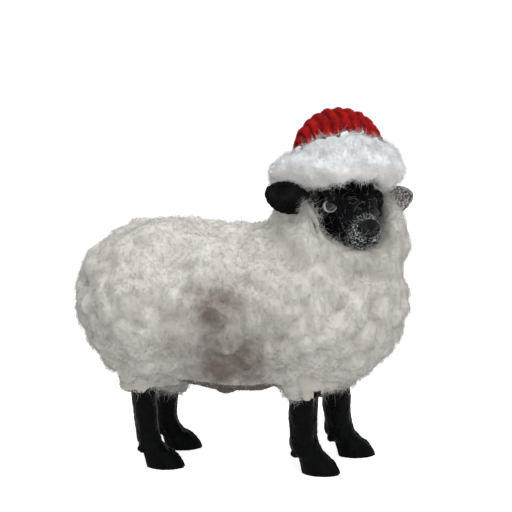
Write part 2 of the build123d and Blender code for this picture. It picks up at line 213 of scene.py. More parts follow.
def wool_colour_group():
    """Wool's colour: painted shade at the roots, in the creases and in the hollows, browned a
    little in the hollows as if soiled, uneven over the coat.
    """
    tree, nodes, given, out = new_group(
        "wool_colour",
        [
            ("Tip Colour", "NodeSocketColor", (1, 1, 1, 1)),
            ("Root Colour", "NodeSocketColor", (0.5, 0.5, 0.5, 1)),
            ("Stain Colour", "NodeSocketColor", (0.5, 0.5, 0.5, 1)),
            ("Stain", "NodeSocketFloat", 0.3),
        ],
        [("Colour", "NodeSocketColor"), ("Height", "NodeSocketFloat")],
    )
    where = nodes.where()
    marks = nodes.marks("curl")
    patches = nodes.spread(nodes.noise(where, 60.0, 4.0, 0.65), 0.40, 0.70)
    uneven = nodes.spread(nodes.noise(where, 110.0), 0.1, 0.6)
    # painted shade with a little soil in the hollows, from the blue of the colour layer
    hollow_shade_and_soil = nodes.math("MULTIPLY", marks["Blue"], uneven)
    stain_and_shade = nodes.math("MULTIPLY", patches, given["Stain"])
    stain_and_shade = nodes.math("MAXIMUM", stain_and_shade, hollow_shade_and_soil)
    tip = nodes.mix(stain_and_shade, given["Tip Colour"], given["Stain Colour"])
    # painted shade at the fibres' roots and in the creases: the red of the colour layer mixes
    # towards the root colour
    colour = nodes.mix(marks["Red"], given["Root Colour"], tip)
    value = nodes.add("ShaderNodeHueSaturation")
    nodes.link(colour, value.inputs["Color"])
    nodes.link(nodes.math("MULTIPLY_ADD", marks["Green"], 0.05, 0.97), value.inputs["Value"])
    nodes.link(value.outputs["Color"], out["Colour"])
    strands = nodes.add("ShaderNodeTexWave", wave_type="BANDS", bands_direction="DIAGONAL")
    strands.inputs["Scale"].default_value = 260.0
    strands.inputs["Distortion"].default_value = 14.0
    strands.inputs["Detail"].default_value = 3.0
    strands.inputs["Detail Scale"].default_value = 0.6
    nodes.link(where, strands.inputs["Vector"])
    nodes.link(nodes.mix(0.4, nodes.noise(where, 700.0, 4.0, 0.7), strands.outputs["Fac"]),
               out["Height"])
    return tree


def resin_group():
    """Painted cast resin: uneven black, rubbed grey where it is worn, with fine modelled grain."""
    tree, nodes, given, out = new_group(
        "resin_surface",
        [
            ("Colour", "NodeSocketColor", (0.01, 0.01, 0.01, 1)),
            ("Wear Colour", "NodeSocketColor", (0.1, 0.1, 0.1, 1)),
            ("Wear", "NodeSocketFloat", 0.3),
            ("Gloss", "NodeSocketFloat", 0.4),
        ],
        [
            ("Colour", "NodeSocketColor"), ("Roughness", "NodeSocketFloat"),
            ("Height", "NodeSocketFloat"),
        ],
    )
    where = nodes.where()
    broad = nodes.noise(where, 130.0, 4.0, 0.6)
    fine = nodes.noise(where, 900.0, 3.0, 0.6)
    worn = nodes.math("MULTIPLY", nodes.spread(broad, 0.45, 0.75), given["Wear"])
    nodes.link(nodes.mix(worn, given["Colour"], given["Wear Colour"]), out["Colour"])
    rough = nodes.math("MULTIPLY_ADD", fine, 0.22, given["Gloss"])
    nodes.link(rough, out["Roughness"])
    nodes.link(nodes.math("ADD", nodes.math("MULTIPLY", broad, 1.6), fine), out["Height"])
    return tree


# The depth of modelled grain in metres, and how little the painted resin shines.
GRAIN_DEPTH = 0.0004
RESIN_SHINE = 0.04

wool_colour = wool_colour_group()
resin_surface = resin_group()


def wool_material(name, tip, root, stain_and_shade_colour, stain_and_shade, sheen=0.2, soft=0.25):
    """Wool or fur: dull, a little see-through at the tips, with a soft sheen."""
    material, nodes, shader = new_material(
        name, 0.95, Sheen_Weight=sheen, Sheen_Roughness=0.6, Specular_IOR_Level=0.1,
        Subsurface_Weight=soft, Subsurface_Scale=0.002, Subsurface_Radius=(1.0, 0.85, 0.7),
    )
    group = place_group(
        nodes, wool_colour, Tip_Colour=rgba(tip), Root_Colour=rgba(root),
        Stain_Colour=rgba(stain_and_shade_colour), Stain=stain_and_shade,
    )
    nodes.link(group["Colour"], shader.inputs["Base Color"])
    nodes.link(nodes.bump(group["Height"], 0.3, GRAIN_DEPTH), shader.inputs["Normal"])
    return material


def resin_material(name, colour, worn, wear, gloss, bump=0.35):
    """Painted cast resin with its worn colour and the depth of its grain."""
    material, nodes, shader = new_material(name, 0.5, Specular_IOR_Level=RESIN_SHINE)
    group = place_group(
        nodes, resin_surface, Colour=rgba(colour), Wear_Colour=rgba(worn), Wear=wear, Gloss=gloss
    )
    nodes.link(group["Colour"], shader.inputs["Base Color"])
    nodes.link(group["Roughness"], shader.inputs["Roughness"])
    nodes.link(nodes.bump(group["Height"], bump, GRAIN_DEPTH), shader.inputs["Normal"])
    return material


# Meshes


def mesh_object(name, points, faces, material, curl=None, facing=None):
    """An object of triangles from arrays in millimetres, riding on the body."""
    mesh = bpy.data.meshes.new(name)
    mesh.vertices.add(len(points))
    mesh.vertices.foreach_set("co", (np.asarray(points, dtype=np.float32) * MM).ravel())
    mesh.loops.add(faces.size)
    mesh.loops.foreach_set("vertex_index", faces.astype(np.int32).ravel())
    mesh.polygons.add(len(faces))
    mesh.polygons.foreach_set("loop_start", np.arange(0, faces.size, 3, dtype=np.int32))
    mesh.polygons.foreach_set("use_smooth", np.ones(len(faces), dtype=bool))
    mesh.update(calc_edges=True)
    if curl is not None:
        layer = mesh.attributes.new("curl", "FLOAT_COLOR", "POINT")
        colours = np.ones((len(points), 4), dtype=np.float32)
        colours[:, : curl.shape[1]] = curl
        layer.data.foreach_set("color", colours.ravel())
    if facing is not None:
        mesh.normals_split_custom_set_from_vertices(facing.astype(np.float32))
    mesh.materials.append(material)
    piece = bpy.data.objects.new(name, mesh)
    bpy.context.collection.objects.link(piece)
    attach(piece, ROOT)
    return piece


def read_mesh(mesh):
    """Points and normals in millimetres, and triangles, of a mesh in metres."""
    mesh.calc_loop_triangles()
    points = np.empty(len(mesh.vertices) * 3, dtype=np.float32)
    mesh.vertices.foreach_get("co", points)
    normals = np.empty(len(mesh.vertices) * 3, dtype=np.float32)
    mesh.vertices.foreach_get("normal", normals)
    triangles = np.empty(len(mesh.loop_triangles) * 3, dtype=np.int32)
    mesh.loop_triangles.foreach_get("vertices", triangles)
    return points.reshape(-1, 3) / MM, normals.reshape(-1, 3), triangles.reshape(-1, 3)


COARSE_SMOOTHING = 8


def blended(nodes, voxel, smoothing, coarse=0.0):
    """Several nodes as one skin without creases: points, normals and triangles.

    A coarse first skin closes the narrow gaps where nodes meet.
    """
    merged = bmesh.new()
    for node in nodes:
        merged.from_mesh(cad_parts[node].data)
    mesh = bpy.data.meshes.new("blend")
    merged.to_mesh(mesh)
    merged.free()
    form = bpy.data.objects.new("blend", mesh)
    bpy.context.collection.objects.link(form)
    first = [(coarse, COARSE_SMOOTHING)] if coarse else []
    for size, rounds in first + [(voxel, smoothing)]:
        remesh = form.modifiers.new("skin", "REMESH")
        remesh.mode = "VOXEL"
        remesh.voxel_size = size * MM
        smooth = form.modifiers.new("smooth", "SMOOTH")
        smooth.factor = 0.5
        smooth.iterations = rounds
    shown = form.evaluated_get(bpy.context.evaluated_depsgraph_get())
    result = read_mesh(shown.to_mesh())
    shown.to_mesh_clear()
    bpy.data.objects.remove(form)
    bpy.data.meshes.remove(mesh)
    return result


def point_normals(points, triangles):
    """Normals at the points of a skin."""
    a, b, c = (points[triangles[:, k]] for k in range(3))
    flat = np.cross(b - a, c - a)
    normals = np.zeros_like(points)
    for k in range(3):
        for axis in range(3):
            normals[:, axis] += np.bincount(triangles[:, k], flat[:, axis], len(points))
    return normals / (np.linalg.norm(normals, axis=1)[:, None] + 1e-9)


def area_of(points, triangles):
    """The area of each triangle."""
    a, b, c = (points[triangles[:, k]] for k in range(3))
    return np.linalg.norm(np.cross(b - a, c - a), axis=1) / 2


def scattered(points, normals, triangles, count, rng):
    """Points spread evenly over triangles, with their normals."""
    area = area_of(points, triangles)
    pick = triangles[rng.choice(len(triangles), size=count, p=area / area.sum())]
    u, v = rng.random(count), rng.random(count)
    flip = u + v > 1
    u[flip], v[flip] = 1 - u[flip], 1 - v[flip]
    shares = np.stack([1 - u - v, u, v], 1)[:, :, None]
    spots = (points[pick] * shares).sum(1)
    facing = (normals[pick] * shares).sum(1)
    return spots, facing / (np.linalg.norm(facing, axis=1)[:, None] + 1e-9)


def spaced(points, gap, rng):
    """A choice of points no two of which are nearer than a gap, by a grid of that size."""
    kept, cells = [], {}
    steps = [(x, y, z) for x in (-1, 0, 1) for y in (-1, 0, 1) for z in (-1, 0, 1)]
    for i in rng.permutation(len(points)):
        p = points[i]
        cell = tuple(int(v) for v in p // gap)
        near = []
        for step in steps:
            near += cells.get((cell[0] + step[0], cell[1] + step[1], cell[2] + step[2]), [])
        if not near or ((points[near] - p) ** 2).sum(1).min() > gap * gap:
            kept.append(i)
            cells.setdefault(cell, []).append(i)
    return np.array(kept)


# Lumps: their least and greatest size, how far each one reaches and how bent its outline is,
# both as shares of the gap, how deep the creases go, and how many points are done at a time.
LUMP_SIZES = (0.55, 1.25)
LUMP_REACH = 0.62
LUMP_WARP = 0.25
CREASE = -0.7
BATCH = 4000


def lumpy(points, normals, triangles, gap, height, rng):
    """A skin pushed out into round lumps that run softly together, and how high each point is.

    height is one number, or one for each point.
    """
    count = int(area_of(points, triangles).sum() / gap**2 * 6)
    spots, _ = scattered(points, normals, triangles, count, rng)
    centres = spots[spaced(spots, gap, rng)].astype(np.float32)
    size = rng.uniform(*LUMP_SIZES, len(centres)).astype(np.float32)
    warp = [smooth_noise(points, gap * 2.2, seed) for seed in rng.integers(1, 900, 3)]
    warped = (points + gap * LUMP_WARP * np.stack(warp, 1)).astype(np.float32)
    rise = np.empty(len(points), dtype=np.float32)
    lengths = (centres**2).sum(1)
    reach = (gap * LUMP_REACH) ** 2
    for start in range(0, len(points), BATCH):
        part = warped[start : start + BATCH]
        squared = lengths[None, :] - 2 * part @ centres.T + (part**2).sum(1)[:, None]
        weight = np.exp(-1.5 * np.maximum(squared, 0) / reach)
        dome = np.maximum(1 - squared / (2.0 * reach), CREASE) * size[None, :]
        rise[start : start + BATCH] = (weight * dome).sum(1) / (weight.sum(1) + 1e-6)
    return points + normals * (height * rise)[:, None], np.clip(rise + 0.1, 0, 1)


def edges_of(triangles):
    """The three edges of every triangle, each as its two point numbers."""
    return np.concatenate([triangles[:, [0, 1]], triangles[:, [1, 2]], triangles[:, [2, 0]]])


def relaxed(points, triangles, rounds):
    """The skin with its sharp folds smoothed out a little."""
    ends = edges_of(triangles)
    count = np.maximum(np.bincount(ends[:, 0], minlength=len(points)), 1)
    for _ in range(rounds):
        total = [np.bincount(ends[:, 0], points[ends[:, 1], k], len(points)) for k in range(3)]
        points = 0.5 * points + 0.5 * np.stack(total, axis=1) / count[:, None]
    return points


def bell(points, place, radius):
    """A soft bell over space: 1 at a place, and hardly anything beyond twice its radius."""
    away = np.linalg.norm(points - np.array(place), axis=1)
    return np.exp(-((away / radius) ** 2))


def pushed(points, normals, mounds):
    """A skin with mounds on it, or hollows where a height is below 0."""
    points = points.copy()
    for place, radius, height in mounds:
        points += normals * (height * bell(points, place, radius))[:, None]
    return points


def relief_of(points, normals, triangles, rounds):
    """How far each point stands out from the skin when that is smoothed."""
    edges = edges_of(triangles)
    ends = np.concatenate([edges, edges[:, ::-1]])
    share = 1 / np.maximum(np.bincount(ends[:, 0], minlength=len(points)), 1)
    smooth = points.copy()
    for _ in range(rounds):
        for axis in range(3):
            total = np.bincount(ends[:, 0], smooth[ends[:, 1], axis], len(points))
            smooth[:, axis] = total * share
    return ((points - smooth) * normals).sum(1)


def across(direction, rng):
    """Two unit vectors square to each direction and to each other, turned at random."""
    first = np.cross(direction, rng.normal(size=direction.shape))
    first /= np.linalg.norm(first, axis=1)[:, None] + 1e-9
    second = np.cross(direction, first)
    return first, second / (np.linalg.norm(second, axis=1)[:, None] + 1e-9)


def curls(roots, along, bend, length, width, wave, turns, rng, rings=4, stain_and_shade=None):
    """Closed three-sided curls that taper to a point: points, triangles and the curl layer.

    along and bend are the directions at the root and of the lean towards the tip. wave is the
    radius of the crimp, and turns how often it goes round.
    """
    count = len(roots)
    first, second = across(along, rng)
    phase = rng.random(count) * math.tau
    sides = np.arange(3) * math.tau / 3
    points = np.empty((count, rings * 3 + 1, 3), dtype=np.float32)
    layer = np.empty((count, rings * 3 + 1, 3), dtype=np.float32)
    layer[:, :, 1] = rng.random(count)[:, None]
    # the blue of the colour layer: painted shade with a little soil, where given
    layer[:, :, 2] = 0 if stain_and_shade is None else stain_and_shade[:, None]
    for k in range(rings + 1):
        t = k / rings
        angle = phase + turns * math.tau * t
        ramp = min(1.0, 2.2 * t)
        centre = (
            roots
            + along * (length * t)[:, None]
            + bend * (length * t * t)[:, None]
            + first * (wave * ramp * (np.cos(angle) - np.cos(phase)))[:, None]
            + second * (wave * ramp * (np.sin(angle) - np.sin(phase)))[:, None]
        )
        if k == rings:
            points[:, -1] = centre
            layer[:, -1, 0] = 1
            continue
        radius = width / 2 * (1 - t) ** 0.55
        for s, side in enumerate(sides):
            points[:, k * 3 + s] = centre + radius[:, None] * (
                first * math.cos(side) + second * math.sin(side)
            )
            # painted shade towards each fibre's root
            layer[:, k * 3 + s, 0] = 0.6 + 0.4 * t
    pattern = [(0, 2, 1)]
    for k in range(rings - 1):
        for s in range(3):
            a, b = k * 3 + s, k * 3 + (s + 1) % 3
            pattern += [(a, b, b + 3), (a, b + 3, a + 3)]
    last = (rings - 1) * 3
    pattern += [(last + s, last + (s + 1) % 3, rings * 3) for s in range(3)]
    faces = np.array(pattern)[None] + (np.arange(count) * (rings * 3 + 1))[:, None, None]
    return points.reshape(-1, 3), faces.reshape(-1, 3), layer.reshape(-1, 3)


def joined(parts):
    """Several (points, triangles, layer) as one."""
    points, faces, layers, start = [], [], [], 0
    for part_points, part_faces, part_layer in parts:
        points.append(part_points)
        faces.append(part_faces + start)
        layers.append(part_layer)
        start += len(part_points)
    return np.concatenate(points), np.concatenate(faces), np.concatenate(layers)


def smooth_noise(points, scale, seed):
    """A soft field from about -1 to 1 over space: a few crossed waves of about one length."""
    rng = np.random.default_rng(seed)
    total = np.zeros(len(points), dtype=np.float32)
    for _ in range(7):
        direction = rng.normal(size=3)
        direction /= np.linalg.norm(direction)
        pace = math.tau / scale * rng.uniform(0.75, 1.3)
        total += np.sin(points @ direction * pace + rng.random() * math.tau)
    return total / 4.2


def pad_of(points, normals, triangles, keep, depth, layer):
    """A closed pad: the kept triangles of a skin, a copy sunk by a depth, and a rim.

    Also gives the pad's normals, which run on smoothly from one pad to the next.
    """
    used, index = np.unique(triangles[keep], return_inverse=True)
    outer = index.reshape(-1, 3)
    count = len(used)
    top = points[used]
    low = top - normals[used] * depth
    inner = outer[:, ::-1] + count
    edges = edges_of(outer)
    keys = edges[:, 0].astype(np.int64) * count + edges[:, 1]
    back = edges[:, 1].astype(np.int64) * count + edges[:, 0]
    rim = edges[~np.isin(keys, back)]
    walls = np.concatenate([
        np.stack([rim[:, 1], rim[:, 0], rim[:, 0] + count], 1),
        np.stack([rim[:, 1], rim[:, 0] + count, rim[:, 1] + count], 1),
    ])
    faces = np.concatenate([outer, inner, walls])
    facing = np.concatenate([normals[used], -normals[used]])
    return np.concatenate([top, low]), faces, np.concatenate([layer[used], layer[used]]), facing


# The head's own frame

HEAD_TURN = -50.0
HEAD_ROLL = -6.5


def turned(axis, degrees):
    """A rotation matrix about X or Z."""
    c, s = math.cos(math.radians(degrees)), math.sin(math.radians(degrees))
    if axis == "X":
        return np.array([[1, 0, 0], [0, c, -s], [0, s, c]])
    return np.array([[c, -s, 0], [s, c, 0], [0, 0, 1]])


HEAD_AXES = turned("Z", HEAD_TURN) @ turned("X", HEAD_ROLL)
HEAD_ORIGIN = np.array([48.678, -0.296, 144.5])


def on_face(points):
    """Points of the figurine in the head's own frame: forwards, to its left, and up."""
    return (points - HEAD_ORIGIN) @ HEAD_AXES


# Coat of the body

FLEECE_NODES = [
    "flank_fleece_right", "flank_fleece_left", "chest_fleece", "neck_fleece", "tail_fleece",
    "belly_panel",
] + ["wool_cuff_" + leg for leg in LEGS]
NUMBER = {node: number for number, node in enumerate(FLEECE_NODES)}
BELLY = NUMBER["belly_panel"]
COAT_VOXEL = 0.85
COAT_SMOOTHING = 34
COAT_COARSE = 2.0
COAT_RELAXING = 6
PAD_DEPTH = 3.0

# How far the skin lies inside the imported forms, less of it over a width round the face.
COAT_SINK = 2.9
SINK_WIDTH = 14.0

# Lumps, the curds on them, and the broad swells and puffs under them.
LUMP_GAP = 8.5
LUMP_HEIGHT = 2.7
CURD_GAP = 3.4
CURD_HEIGHT = 0.55
SWELL_SCALE = 32.0
SWELL_HEIGHT = 1.1
PUFF_SCALE = 15.0
PUFF_HEIGHT = 1.1

# The hole in the wool for the face: how far below the head's middle, and how wide.
FACE_DOWN = 11.5
FACE_REACH = 18.0

# Where the tail, the belly and the cuffs are parted from the flanks: how far in the tail
# begins, how far down the belly does, and how far above its middle each cuff does.
TAIL_DEPTH = 4.5
BELLY_DROP = 8.0
CUFF_RISE = 2.0

# The far rear cuff hangs lower: below this height it is drawn down by this share.
HANG_HEIGHT = 46.0
HANG_SHARE = 0.5

# Fibres of one kind: how many on a square millimetre, their length, width and crimp, how far
# they stand up, how far they droop, and how far they stray from one another.
Growth = namedtuple("Growth", "density length width crimp upright droop stray")
WISPS = Growth(0.55, 4.2, 0.24, 0.75, 0.3, 0.35, 0.5)
FUZZ = Growth(0.5, 3.0, 0.12, 0.7, 0.7, 0.1, 0.4)
RUFF = Growth(1.2, 5.5, 0.2, 0.7, 0.6, 0.1, 0.5)

# Mounds and hollows of the coat: place, radius and height in millimetres.
MOUNDS = [
    ((-86.0, 0.0, 82.0), 6.0, -4.0),
    ((-6.0, -42.0, 68.0), 17.0, -2.2),
    ((-8.0, -43.0, 88.0), 12.0, -0.4),
    ((-48.0, -38.0, 58.0), 11.0, 2.6),
    ((-2.0, -12.0, 54.0), 26.0, 7.0),
    ((-2.0, 16.0, 54.0), 26.0, 7.0),
    ((-84.0, 0.0, 62.0), 12.0, -2.0),
    ((42.5, -21.2, 126.4), 8.0, -2.2),
    ((45.5, -21.0, 120.0), 7.0, -2.4),
    ((62.0, -22.0, 114.0), 8.0, 2.0),
    ((-82.0, 0.0, 104.0), 14.0, 4.2),
    ((-45.0, 0.0, 118.0), 18.0, 2.2),
    ((86.0, -5.0, 92.0), 16.0, 2.4),
    ((0.0, 0.0, 122.0), 9.0, 1.6),
]

# Where the coat has painted shade, browned a little as if soiled, in its hollows: place, radius
# and strength.
SHADE_AND_SOIL_HOLLOWS = [
    ((-4.0, -42.0, 89.0), 12.5, 1.5),
    ((1.0, -38.0, 60.0), 20.0, 1.5),
    ((-26.0, -40.0, 66.0), 10.0, 0.6),
    ((14.0, -42.0, 92.0), 9.0, 0.5),
]


def coat_region(spots):
    """The number of the fleece node that each spot of the coat belongs to."""
    chest_low = box_mm("chest_fleece")[0]
    neck_low = box_mm("neck_fleece")[0]
    belly_low, belly_high = box_mm("belly_panel")
    right, left = NUMBER["flank_fleece_right"], NUMBER["flank_fleece_left"]
    region = np.where(spots[:, 1] < 0, right, left)
    front = spots[:, 0] > chest_low[0]
    region[front] = NUMBER["chest_fleece"]
    region[front & (spots[:, 2] > neck_low[2])] = NUMBER["neck_fleece"]
    low, high = box_mm("tail_fleece")
    tail = (spots[:, 0] < low[0] + TAIL_DEPTH) & (abs(spots[:, 1]) < high[1])
    tail &= (spots[:, 2] > low[2]) & (spots[:, 2] < high[2])
    region[tail] = NUMBER["tail_fleece"]
    under = (spots[:, 2] < belly_high[2] - BELLY_DROP) & (abs(spots[:, 1]) < belly_high[1])
    under &= (spots[:, 0] > belly_low[0]) & (spots[:, 0] < belly_high[0])
    region[under] = BELLY
    for leg in LEGS:
        low, high = box_mm("wool_cuff_" + leg)
        middle = middle_mm("wool_cuff_" + leg)
        away = np.hypot(spots[:, 0] - middle[0], spots[:, 1] - middle[1])
        cuff = (away < (high[0] - low[0]) / 2) & (spots[:, 2] < middle[2] + CUFF_RISE)
        region[cuff] = NUMBER["wool_cuff_" + leg]
    return region


def shade_and_soil(points):
    """How much painted shade, browned a little as if soiled, the wool has at each point: in the
    hollows and under the body.
    """
    # painted shade under the body: darker low down
    low = np.clip((56 - points[:, 2]) / 20, 0, 1) * 0.2
    for place, radius, strength in SHADE_AND_SOIL_HOLLOWS:
        low = np.maximum(low, strength * bell(points, place, radius))
    return low


def tuftiness(points):
    """How curly the wool is at each point: smooth on the back, in small tufts low down."""
    return 0.25 + 0.75 * np.clip((112 - points[:, 2]) / 30, 0, 1)


def near_face(points):
    """How full the wool is near the face: 0.6 at its edge, and 1 a little way off."""
    local = on_face(points)
    away = np.hypot(local[:, 1], local[:, 2] + FACE_DOWN)
    share = np.clip((away - FACE_REACH) / 6.0, 0.6, 1)
    return np.where(local[:, 0] > -4, share, 1.0)


def wisps(spots, facing, lean, length, width, wave, rng, upright, turns=1.4, rings=4, stain_and_shade=None):
    """Curled fibres that lie along the skin more or less, each with its own lean."""
    side, other = across(facing, rng)
    tilt = rng.normal(scale=1.0, size=(len(spots), 2))
    along = facing * upright + lean + side * tilt[:, :1] * 0.6 + other * tilt[:, 1:] * 0.6
    along /= np.linalg.norm(along, axis=1)[:, None] + 1e-9
    bend = lean - facing * 0.25
    size = length * rng.uniform(0.6, 1.3, len(spots))
    thick = width * rng.uniform(0.6, 1.3, len(spots))
    crimp = wave * rng.uniform(0.4, 1.5, len(spots))
    return curls(spots - facing * 0.4, along, bend, size, thick, crimp, turns, rng, rings, stain_and_shade)


def drooping(facing, rng, droop, stray):
    """A lean for each fibre: some way down, and some way off at random."""
    lean = rng.normal(scale=stray, size=facing.shape)
    lean[:, 2] -= droop
    return lean - facing * (lean * facing).sum(1)[:, None]


def grown(points, normals, triangles, growth, rng, short=1.0, soiled_and_shaded=False, rings=4):
    """Fibres of one kind on a patch of skin. short, below 1, makes them shorter and denser."""
    count = int(area_of(points, triangles).sum() * growth.density / short)
    spots, out = scattered(points, normals, triangles, count, rng)
    lean = drooping(out, rng, growth.droop, growth.stray)
    # fibres on shaded skin can take its painted shade and soil
    return wisps(
        spots, out, lean, growth.length * short, growth.width, growth.crimp * short, rng,
        growth.upright, rings=rings, stain_and_shade=shade_and_soil(spots) if soiled_and_shaded else None,
    )


def add_fibres(name, parts, material):
    """Several lots of fibres as one piece."""
    points, faces, layer = joined(parts)
    mesh_object(name, points, faces, material, layer)


def add_pad(name, node, pad, material):
    """A padded piece in a node's place."""
    points, faces, layer, facing = pad
    piece = mesh_object(name, points, faces, material, layer, facing)
    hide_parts(node)


def coat_skin(rng):
    """The whole coat as one lumpy skin: points, normals and triangles."""
    points, normals, triangles = blended(
        FLEECE_NODES + ["body_core"], COAT_VOXEL, COAT_SMOOTHING, COAT_COARSE
    )
    belly = coat_region(points) == BELLY
    local = on_face(points)
    rim = np.hypot(local[:, 1], local[:, 2] + FACE_DOWN) - FACE_REACH
    sink = COAT_SINK * np.where(local[:, 0] > -6, np.clip(rim / SINK_WIDTH, 0.1, 1), 1)
    swell = SWELL_HEIGHT * smooth_noise(points, SWELL_SCALE, 3)
    swell += PUFF_HEIGHT * smooth_noise(points, PUFF_SCALE, 4) * near_face(points)
    points = points + normals * (swell - sink)[:, None]
    smooth = pushed(points, normals, MOUNDS)
    full = near_face(smooth)
    tufted = tuftiness(smooth) * full
    height = LUMP_HEIGHT * full * (0.45 + 0.55 * tufted)
    points, _ = lumpy(smooth, normals, triangles, LUMP_GAP, height, rng)
    normals = point_normals(points, triangles)
    points, _ = lumpy(points, normals, triangles, CURD_GAP, CURD_HEIGHT * tufted, rng)
    points[belly] = smooth[belly]
    points = relaxed(points, triangles, COAT_RELAXING)
    hanging = coat_region(points) == NUMBER["wool_cuff_rear_left"]
    points[hanging, 2] -= np.clip(HANG_HEIGHT - points[hanging, 2], 0, None) * HANG_SHARE
    return points, point_normals(points, triangles), triangles


def coat_layer(points, normals, triangles):
    """The coat's colour layer: painted shade in the creases from how far out each point is, how
    uneven each point is, and how much painted shade and soil it has.
    """
    layer = np.zeros((len(points), 3), dtype=np.float32)
    # painted shade in the creases: points that lie in go towards the root colour
    layer[:, 0] = np.clip(0.8 + 0.2 * relief_of(points, normals, triangles, 30), 0, 1)
    layer[:, 1] = 0.5 + 0.5 * smooth_noise(points, 9.0, 8)
    layer[:, 2] = shade_and_soil(points)
    return layer


def build_coat():
    """The body's wool: a pad and its fibres for each fleece node, all cut from one skin."""
    rng = np.random.default_rng(11)
    points, normals, triangles = coat_skin(rng)
    layer = coat_layer(points, normals, triangles)
    regions = coat_region(points[triangles].mean(1))
    # tip colour, then the root colour for painted shade in the creases, then the stain colour for
    # soil and painted shade in the hollows
    wool = wool_material(
        "fleece_wool", (226, 223, 217), (191, 183, 175), (122, 112, 104), 0.09
    )
    # the belly pile: its dark colours are painted shade under the body
    belly_shade_pile = wool_material(
        "belly_wool", (112, 105, 98), (62, 56, 52), (84, 76, 70), 0.6, sheen=0.15, soft=0.1
    )
    for number, node in enumerate(FLEECE_NODES):
        keep = regions == number
        material, slot, short = wool, "fleece", 1.0
        if number == BELLY:
            material, slot, short = belly_shade_pile, "belly_pile", 0.5
        name = node.replace("_fleece", "_wool").replace("_panel", "_pile")
        add_pad(name, node, pad_of(points, normals, triangles, keep, PAD_DEPTH, layer),
                material)
        patch = triangles[keep]
        # the coat's fibres take the painted shade and soil of the hollows
        parts = [
            grown(points, normals, patch, growth, rng, short, soiled_and_shaded=True)
            for growth in (WISPS, FUZZ)
        ]
        ruff = patch[near_face(points[patch].mean(1)) < 0.99]
        if len(ruff):
            parts.append(grown(points, normals, ruff, RUFF, rng))
        add_fibres(name + "_fibres", parts, material)


# Topknot, fur trim and crown of the hat

CAP_VOXEL = 0.75
CAP_SMOOTHING = 16
CAP_COARSE = 1.7
CAP_SWELL = -1.8
CAP_RELAXING = 3
CAP_DEPTH = 1.2

# Where the fur band begins, from its middle along the hat's axis.
BAND_LOW = -3.0

# Mounds and hollows of the wool on the head: place, radius and height in millimetres.
CAP_MOUNDS = [
    ((18.0, 0.0, 157.0), 10.0, -3.0),
    ((14.0, 0.0, 145.0), 9.0, 2.6),
    ((83.0, 0.0, 148.0), 10.0, 3.0),
    ((62.0, -18.0, 144.0), 14.0, 1.8),
]
# How far the fur band rides up the crown at the front: place, radius and rise.
BAND_RISE = ((54.0, -16.0, 168.0), 19.0, 5.0)
# How far the wool hangs down over the brow and beside the face: place, radius and drop.
BROW_DROPS = [
    ((64.0, -20.0, 141.0), 12.0, 4.5),
    ((80.0, -5.0, 143.0), 10.0, 4.5),
    ((16.0, 0.0, 142.0), 9.0, 2.0),
]

TOPKNOT_GROWTH = [
    Growth(0.8, 4.2, 0.22, 0.5, 0.4, 0.5, 0.3),
    Growth(0.8, 3.8, 0.12, 0.6, 0.8, 0.3, 0.3),
]
BAND_GROWTH = [
    Growth(1.1, 4.0, 0.2, 0.35, 0.5, 0.3, 0.3),
    Growth(1.0, 4.0, 0.12, 0.5, 1.0, -0.2, 0.3),
]


def hat_axis():
    """The middle of the fur band, and the way from it up through the crown."""
    middle = middle_mm("hat_trim")
    axis = middle_mm("hat_crown") - middle
    return middle, axis / np.linalg.norm(axis)


def cap_skin(rng):
    """Topknot and fur band as one lumpy skin: points, normals, triangles and colour layer."""
    points, normals, triangles = blended(
        ["topknot_fleece", "hat_trim"], CAP_VOXEL, CAP_SMOOTHING, CAP_COARSE
    )
    points = points + normals * (0.9 * smooth_noise(points, 20.0, 21) + CAP_SWELL)[:, None]
    points = pushed(points, normals, CAP_MOUNDS)
    middle, axis = hat_axis()
    place, radius, rise = BAND_RISE
    upper = np.clip(((points - middle) @ axis + 3) / 5, 0, 1)
    points += axis * (rise * upper * bell(points, place, radius))[:, None]
    for place, radius, drop in BROW_DROPS:
        points[:, 2] -= drop * bell(points, place, radius)
    normals = point_normals(points, triangles)
    points, crown = lumpy(points, normals, triangles, 8.0, 1.3, rng)
    normals = point_normals(points, triangles)
    points, curd = lumpy(points, normals, triangles, 3.0, 0.45, rng)
    points = relaxed(points, triangles, CAP_RELAXING)
    layer = np.zeros((len(points), 3), dtype=np.float32)
    # painted shade between the lumps: lower points go towards the root colour
    layer[:, 0] = 0.4 + 0.3 * crown + 0.3 * curd
    layer[:, 1] = 0.5 + 0.5 * smooth_noise(points, 7.0, 22)
    return points, point_normals(points, triangles), triangles, layer


def build_cap_wool():
    """The topknot and the hat's fur band: one soft mass, parted square to the hat's axis."""
    rng = np.random.default_rng(21)
    # the root colours here are painted shade between the lumps
    warm = wool_material(
        "topknot_wool", (252, 251, 250), (238, 236, 232), (230, 226, 220), 0.2, sheen=0.3
    )
    cool = wool_material(
        "trim_fur", (240, 242, 243), (228, 231, 232), (240, 243, 244), 0.2, sheen=0.3
    )
    points, normals, triangles, layer = cap_skin(rng)
    middle, axis = hat_axis()
    spots = points[triangles].mean(1)
    band = (spots - middle) @ axis + 1.6 * smooth_noise(spots, 9.0, 24) >= BAND_LOW
    for node, name, material, slot, keep, growths in (
        ("topknot_fleece", "topknot_wool", warm, "topknot_wool", ~band, TOPKNOT_GROWTH),
        ("hat_trim", "trim_fur", cool, "hat_fur", band, BAND_GROWTH),
    ):
        pad = pad_of(points, normals, triangles, keep, CAP_DEPTH, layer)
        add_pad(name, node, pad, material)
        parts = [grown(points, normals, triangles[keep], growth, rng) for growth in growths]
        add_fibres(name + "_fibres", parts, material)


